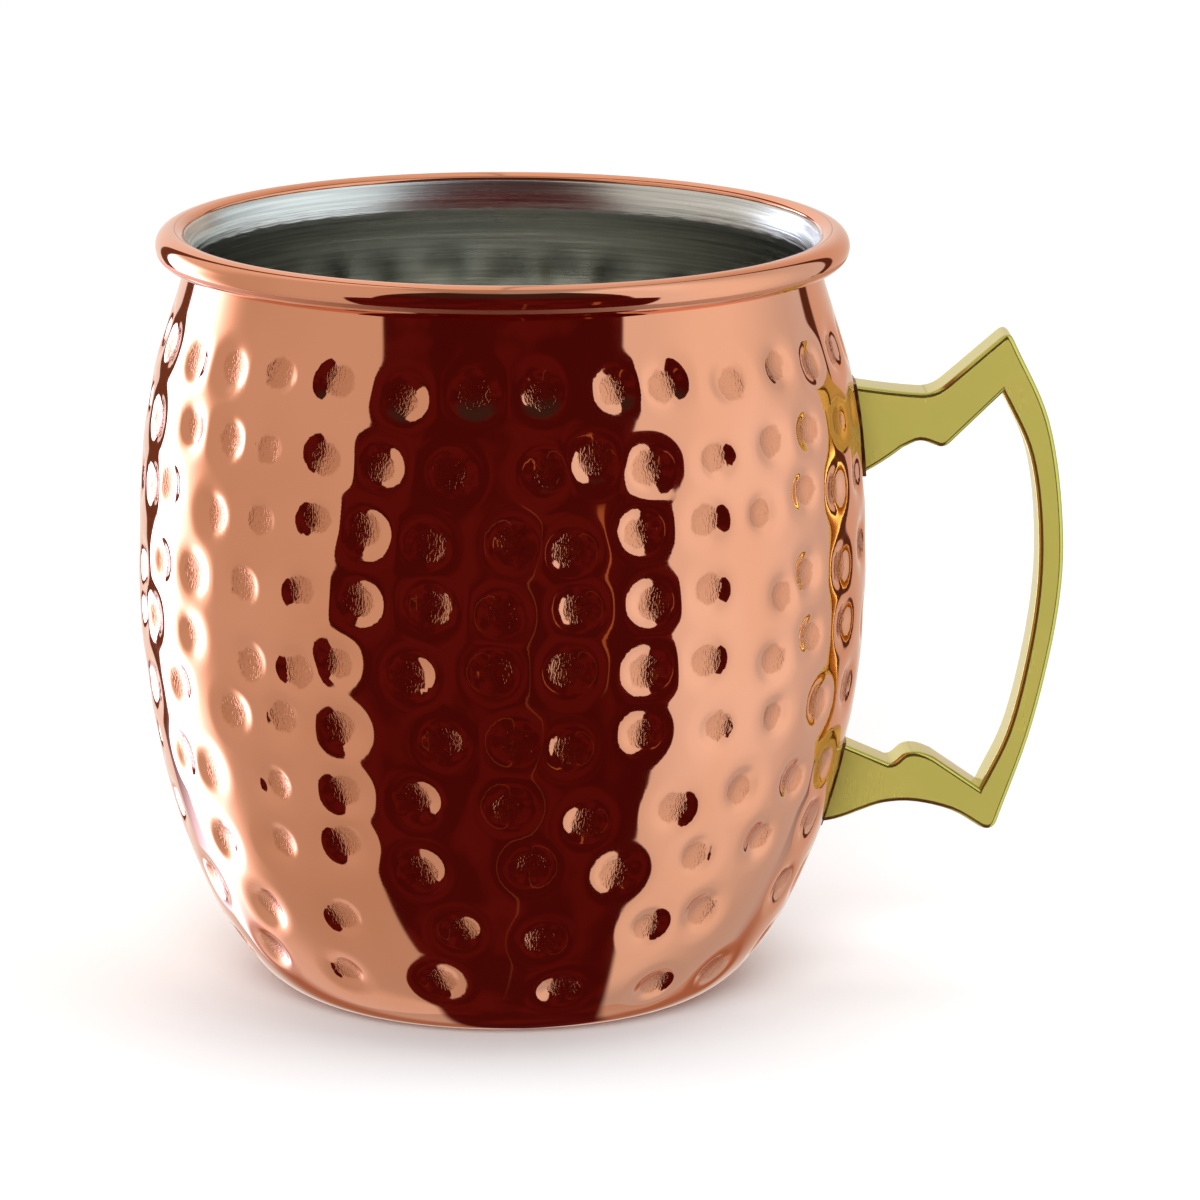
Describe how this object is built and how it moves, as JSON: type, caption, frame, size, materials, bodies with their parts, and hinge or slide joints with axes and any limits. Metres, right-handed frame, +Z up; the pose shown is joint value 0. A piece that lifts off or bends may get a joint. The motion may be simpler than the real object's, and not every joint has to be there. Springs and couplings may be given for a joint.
{
  "type": "mule mug",
  "caption": "Barrel-shaped drinking mug of hammered, copper-plated sheet steel, with a rolled rim and a flat cast brass handle brazed to the wall at two feet.",
  "frame": {"origin": "on the cup's axis, at the plane that the flat base stands on", "axes": "+Z up along the cup's axis, +X from the axis through the handle, +Y to the left of the handle seen from above the cup with the handle pointing away"},
  "size_m": [0.1181, 0.0928, 0.0983],
  "materials": {
    "brushed_lining": "stainless steel, brushed round the inside, with the backs of the dimples standing up",
    "polished_copper": "polished copper, hammered, with a matt spot in each dimple",
    "cast_brass": "cast brass, polished, with eased edges",
    "braze_metal": "brazing metal, tarnished"
  },
  "bodies": {
    "root": {"steel_cup": "brushed_lining", "copper_layer": "polished_copper", "handle": "cast_brass", "upper_braze": "braze_metal", "lower_braze": "braze_metal"}
  },
  "joints": []
}
